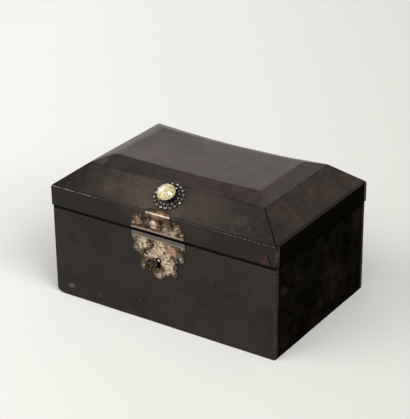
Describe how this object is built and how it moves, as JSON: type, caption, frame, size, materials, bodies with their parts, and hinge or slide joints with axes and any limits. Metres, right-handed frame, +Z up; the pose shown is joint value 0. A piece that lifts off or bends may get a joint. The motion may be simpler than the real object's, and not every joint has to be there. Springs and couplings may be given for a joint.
{
  "type": "casket",
  "caption": "Leather-covered casket for papers and keepsakes, with a hinged hipped lid, lock plates and a jewelled boss.",
  "frame": {"origin": "middle of the flat underside of the bottom board, under the middle of the leather-covered body", "axes": "+X along the front from left to right as seen from the front, +Y from the front to the hinges at the back, +Z up"},
  "size_m": [0.2518, 0.1816, 0.1424],
  "materials": {
    "leather": "worn black morocco leather",
    "wood": "bare softwood boards",
    "lining": "aged paper lining",
    "plate": "silvered brass, worn and pitted",
    "nail_heads": "silvered brass, worn",
    "setting": "silvered brass, tarnished",
    "cut_steel": "dark faceted steel",
    "stone": "pale yellow faceted paste",
    "hinge_brass": "dull brass",
    "iron": "dark iron",
    "lock_steel": "filed steel"
  },
  "bodies": {
    "body": {"bottom_board": "wood", "front_board": "wood", "back_board": "wood", "left_board": "wood", "right_board": "wood", "carcass_nails": "iron", "bottom_nails": "iron", "front_leather": "leather", "back_leather": "leather", "left_leather": "leather", "right_leather": "leather", "floor_lining": "lining", "front_lining": "lining", "back_lining": "lining", "left_lining": "lining", "right_lining": "lining", "lock_escutcheon": "plate", "escutcheon_nails": "nail_heads", "lock_backplate": "lock_steel", "lock_screws": "lock_steel", "lock_guides": "lock_steel", "lock_pin": "lock_steel", "lock_ward": "lock_steel", "lock_spring": "lock_steel", "left_hinge_lower_leaf": "hinge_brass", "right_hinge_lower_leaf": "hinge_brass", "hinge_pins": "hinge_brass", "lower_hinge_screws": "hinge_brass"},
    "lid": {"lid_front_rail": "wood", "lid_back_rail": "wood", "lid_left_rail": "wood", "lid_right_rail": "wood", "lid_front_slope": "wood", "lid_back_slope": "wood", "lid_left_slope": "wood", "lid_right_slope": "wood", "lid_top_board": "wood", "lid_front_leather": "leather", "lid_back_leather": "leather", "lid_left_leather": "leather", "lid_right_leather": "leather", "lid_top_leather": "leather", "lid_lining": "lining", "lid_plate": "plate", "lid_plate_nails": "nail_heads", "lock_staple": "lock_steel", "staple_screws": "lock_steel", "left_hinge_upper_leaf": "hinge_brass", "right_hinge_upper_leaf": "hinge_brass", "upper_hinge_screws": "hinge_brass", "jewel_backplate": "setting", "jewel_outer_studs": "cut_steel", "jewel_inner_studs": "cut_steel", "jewel_setting": "setting", "jewel_stone": "stone", "jewel_nut": "setting"},
    "lock_bolt": {"lock_bolt": "lock_steel"}
  },
  "joints": [
    {"name": "lid_hinge", "type": "hinge", "parent": "body", "child": "lid", "pos_m": [0, 0.0872, 0.0942], "axis": [-1, 0, 0], "range_deg": [0, 100]},
    {"name": "bolt_slide", "type": "slide", "parent": "body", "child": "lock_bolt", "axis": [1, 0, 0], "range_m": [0, 0.005]}
  ]
}
